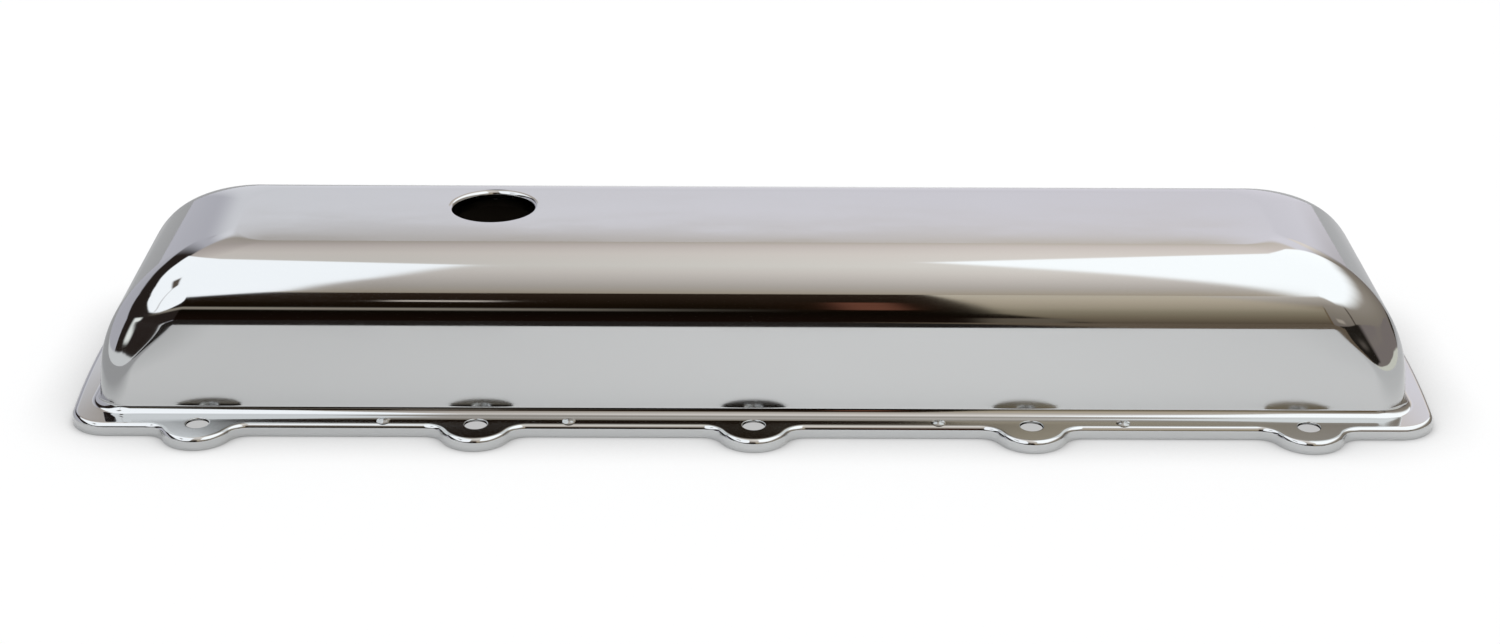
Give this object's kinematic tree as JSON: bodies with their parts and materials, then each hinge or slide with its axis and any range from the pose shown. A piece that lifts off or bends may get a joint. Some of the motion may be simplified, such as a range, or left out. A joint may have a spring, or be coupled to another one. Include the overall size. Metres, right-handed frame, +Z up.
{
  "type": "engine valve cover",
  "caption": "Long chrome-plated pressed steel valve cover with a domed body, a lipped flange with screw ears along both sides and a collared breather hole in the crown.",
  "frame": {"origin": "middle of the footprint, on the plane that the turned-down rim stands on", "axes": "+X along the cover, away from the end with the breather hole; +Y towards the rail that the breather hole is nearer to; +Z up, from the rim to the crown"},
  "size_m": [0.527, 0.1622, 0.0635],
  "materials": {
    "chrome_plate": "polished chrome plating on pressed steel"
  },
  "bodies": {
    "root": {"cover_shell": "chrome_plate"}
  },
  "joints": []
}
